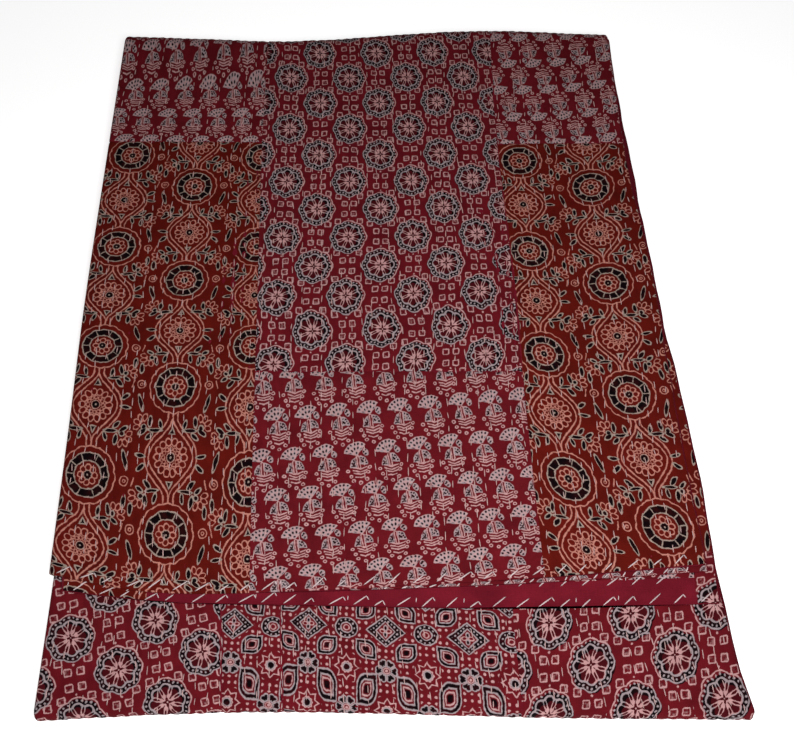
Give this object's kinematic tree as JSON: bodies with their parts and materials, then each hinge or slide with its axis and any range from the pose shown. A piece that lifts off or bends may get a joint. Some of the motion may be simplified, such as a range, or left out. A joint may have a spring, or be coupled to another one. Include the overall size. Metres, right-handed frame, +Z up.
{
  "type": "folded kantha quilt",
  "caption": "Hand-stitched block-print patchwork quilt, folded in both directions into a flat stack of soft plies, with hems stepped at the front.",
  "frame": {"origin": "under the middle of the folded quilt, on the surface that it lies on", "axes": "+Z up, through the plies; +Y from the hems at the front to the back fold, along the rows of stitches; +X to the right"},
  "size_m": [0.6012, 0.7742, 0.0372],
  "materials": {
    "quilted_cotton": "Block-printed cotton patchwork in crimson, madder red and black, hand quilted with pale running stitch, soft and matt"
  },
  "bodies": {
    "root": {"quilt": "quilted_cotton"}
  },
  "joints": []
}
